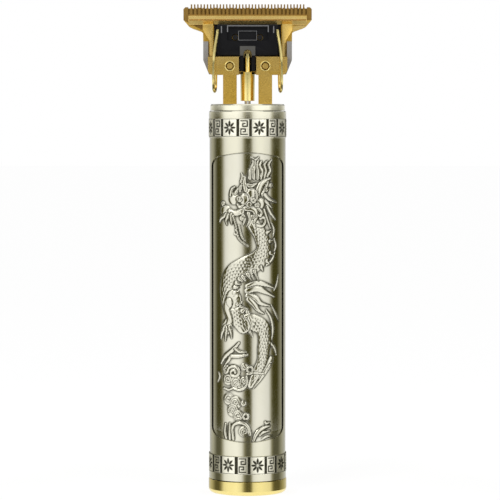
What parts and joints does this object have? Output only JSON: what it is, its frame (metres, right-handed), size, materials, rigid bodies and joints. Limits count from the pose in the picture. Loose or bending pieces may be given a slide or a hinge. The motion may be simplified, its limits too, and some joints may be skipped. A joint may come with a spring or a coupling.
{
  "type": "beard trimmer",
  "caption": "Cordless beard trimmer with a T-shaped toothed blade, an open drive head on two posts, a relief-patterned metal barrel and a slide switch.",
  "frame": {"origin": "centre of the flat underside of the end cap, on the barrel's axis", "axes": "+Z along the barrel towards the blade, -Y the front with the drive pin and the springs, +Y the rear with the switch"},
  "size_m": [0.04, 0.0249, 0.1521],
  "materials": {
    "antique_brass": "satin antique plating",
    "polished_gold": "polished",
    "titanium_gold": "gold titanium coating",
    "black_plastic": "gloss",
    "core_plastic": "matte",
    "bright_steel": "bright",
    "motor_steel": "satin",
    "lamination": "satin",
    "copper": "satin copper",
    "bronze": "sintered",
    "ferrite": "matte",
    "cell_wrap": "plastic sleeve over a metal can",
    "foam": "matte foam",
    "board_green": "satin",
    "clear_light": "clear",
    "wire_red": "satin",
    "wire_black": "satin",
    "seal_rubber": "matte"
  },
  "bodies": {
    "barrel": {"battery_cell": "cell_wrap", "battery_lead_negative": "wire_black", "battery_lead_positive": "wire_red", "battery_pad": "foam", "battery_tab_bottom": "bright_steel", "battery_tab_top": "bright_steel", "blade_base": "black_plastic", "blade_screw_left": "bright_steel", "blade_screw_right": "bright_steel", "body_tube": "antique_brass", "brush_left": "copper", "brush_right": "copper", "charge_socket": "bright_steel", "charge_tongue": "black_plastic", "circuit_board": "board_green", "comb_blade": "titanium_gold", "control_chip": "black_plastic", "core_front": "core_plastic", "core_rear": "core_plastic", "end_cap": "polished_gold", "frame_screw_front": "bright_steel", "frame_screw_rear": "bright_steel", "head_frame": "titanium_gold", "light_pipe": "clear_light", "magnet_left": "ferrite", "magnet_right": "ferrite", "motor_bracket": "motor_steel", "motor_bush_front": "bronze", "motor_bush_rear": "bronze", "motor_can": "motor_steel", "motor_end_bell": "black_plastic", "motor_lead_left": "wire_black", "motor_lead_right": "wire_red", "motor_screw_left": "bright_steel", "motor_screw_right": "bright_steel", "motor_terminal_left": "copper", "motor_terminal_right": "copper", "port_bezel": "black_plastic", "shaft_seal": "seal_rubber", "slide_switch_housing": "bright_steel", "socket_board": "board_green", "switch_bezel": "black_plastic", "tension_spring_left": "polished_gold", "tension_spring_right": "polished_gold", "top_collar": "antique_brass"},
    "rotor": {"motor_shaft": "bright_steel", "rotor_core": "lamination", "rotor_coil_1": "copper", "rotor_coil_2": "copper", "rotor_coil_3": "copper", "commutator": "copper", "eccentric_cam": "polished_gold"},
    "cutter": {"cutter_blade": "titanium_gold", "cutter_carrier": "black_plastic", "cutter_rivet_left": "black_plastic", "cutter_rivet_right": "black_plastic"},
    "switch": {"switch_knob": "titanium_gold"}
  },
  "joints": [
    {"name": "motor_spin", "type": "hinge", "parent": "barrel", "child": "rotor", "pos_m": [0, 0, 0.08605], "axis": [0, 0, 1], "range_deg": [-90, 90]},
    {"name": "cutter_slide", "type": "slide", "parent": "barrel", "child": "cutter", "axis": [1, 0, 0], "range_m": [-0.001, 0.001]},
    {"name": "switch_slide", "type": "slide", "parent": "barrel", "child": "switch", "axis": [0, 0, 1], "range_m": [0, 0.004]}
  ],
  "couplings": [
    {"joint": "cutter_slide", "follows": "motor_spin", "m_per_rad": 0.0006366}
  ]
}
